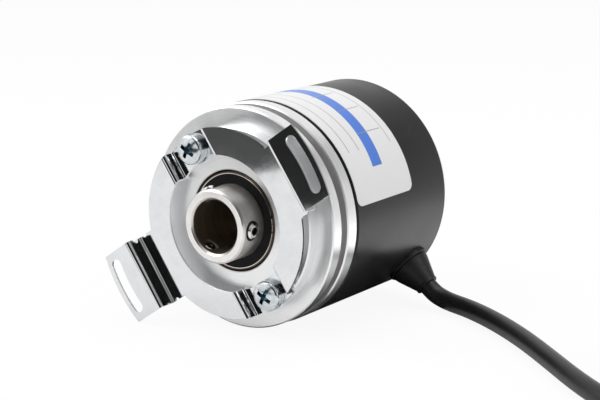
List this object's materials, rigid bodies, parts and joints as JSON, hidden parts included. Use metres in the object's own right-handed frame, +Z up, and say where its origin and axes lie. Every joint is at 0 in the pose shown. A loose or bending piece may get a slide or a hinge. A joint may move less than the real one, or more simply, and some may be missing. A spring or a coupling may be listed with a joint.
{
  "type": "rotary encoder",
  "caption": "Round rotary encoder with a blind hollow shaft, a sprung stator coupling on its face and a cable out of its side.",
  "frame": {"origin": "on the shaft axis, level with the flange's front face", "axes": "-Y out of the shaft's mouth along its axis, +Z up as the encoder lies, +X to the side where the cable leaves"},
  "size_m": [0.2061, 0.0757, 0.0582],
  "materials": {
    "turned_aluminium": "bright, finely turned",
    "spring_steel": "bright rolled spring steel, almost a mirror",
    "zinc_steel": "zinc plated, slightly blue",
    "stainless_steel": "warm grey, finely turned",
    "set_screw_steel": "bright steel",
    "bearing_steel": "ground",
    "bearing_balls": "polished",
    "cage_polyamide": "moulded",
    "seal_rubber": "satin",
    "dark_spring_steel": "phosphated",
    "disc_glass": "clear with opaque tracks",
    "black_moulding": "moulded",
    "lamp_resin": "clear resin",
    "gold_plate": "gold plated",
    "board_laminate": "solder mask",
    "capacitor_can": "bright",
    "header_resin": "moulded",
    "plug_resin": "moulded",
    "wire_insulation": "six colours",
    "pillar_brass": "machined",
    "black_paint": "satin black over die-cast metal",
    "blackened_steel": "blackened",
    "label_film": "white film with a plain blue band",
    "gland_rubber": "moulded, satin",
    "cable_jacket": "satin jacket",
    "crimp_steel": "bright",
    "tie_nylon": "moulded"
  },
  "bodies": {
    "housing": {"flange": "turned_aluminium", "stator_coupling": "spring_steel", "coupling_screws": "zinc_steel", "coupling_spring_washers": "zinc_steel", "coupling_washers": "zinc_steel", "front_bearing_outer_race": "bearing_steel", "front_bearing_seals": "seal_rubber", "rear_bearing_outer_race": "bearing_steel", "rear_bearing_seals": "seal_rubber", "preload_washer": "dark_spring_steel", "lamp_holder": "black_moulding", "lamp": "lamp_resin", "lamp_lens": "lamp_resin", "lamp_leads": "gold_plate", "sensor_chip": "black_moulding", "sensor_mask": "disc_glass", "main_board": "board_laminate", "driver_chip": "black_moulding", "regulator_chip": "black_moulding", "board_capacitors": "capacitor_can", "board_header": "header_resin", "header_plug": "plug_resin", "signal_leads": "wire_insulation", "board_pillars": "pillar_brass", "cover_pillars": "pillar_brass", "cover": "black_paint", "cover_oring": "seal_rubber", "cover_screws": "blackened_steel", "label": "label_film", "cable_gland": "gland_rubber", "cable_entry": "cable_jacket", "cable_crimp": "crimp_steel", "cable": "cable_jacket", "cable_coil": "cable_jacket", "cable_tie": "tie_nylon", "cable_wires": "wire_insulation"},
    "rotor": {"hollow_shaft": "stainless_steel", "shaft_set_screws": "set_screw_steel", "front_bearing_inner_race": "bearing_steel", "rear_bearing_inner_race": "bearing_steel", "race_spacer": "bearing_steel", "shaft_circlip": "dark_spring_steel", "disc_hub": "turned_aluminium", "code_disc": "disc_glass", "disc_clamp": "turned_aluminium", "disc_screw": "zinc_steel"},
    "front_ball_set": {"front_bearing_balls": "bearing_balls", "front_bearing_cage": "cage_polyamide"},
    "rear_ball_set": {"rear_bearing_balls": "bearing_balls", "rear_bearing_cage": "cage_polyamide"}
  },
  "joints": [
    {"name": "shaft_spin", "type": "hinge", "parent": "housing", "child": "rotor", "pos_m": [0, 0, 0], "axis": [0, -1, 0], "continuous": true},
    {"name": "front_cage_spin", "type": "hinge", "parent": "housing", "child": "front_ball_set", "pos_m": [0, 0, 0], "axis": [0, -1, 0], "continuous": true},
    {"name": "rear_cage_spin", "type": "hinge", "parent": "housing", "child": "rear_ball_set", "pos_m": [0, 0, 0], "axis": [0, -1, 0], "continuous": true}
  ],
  "couplings": [
    {"joint": "front_cage_spin", "follows": "shaft_spin", "ratio": 0.4302},
    {"joint": "rear_cage_spin", "follows": "shaft_spin", "ratio": 0.4302}
  ]
}
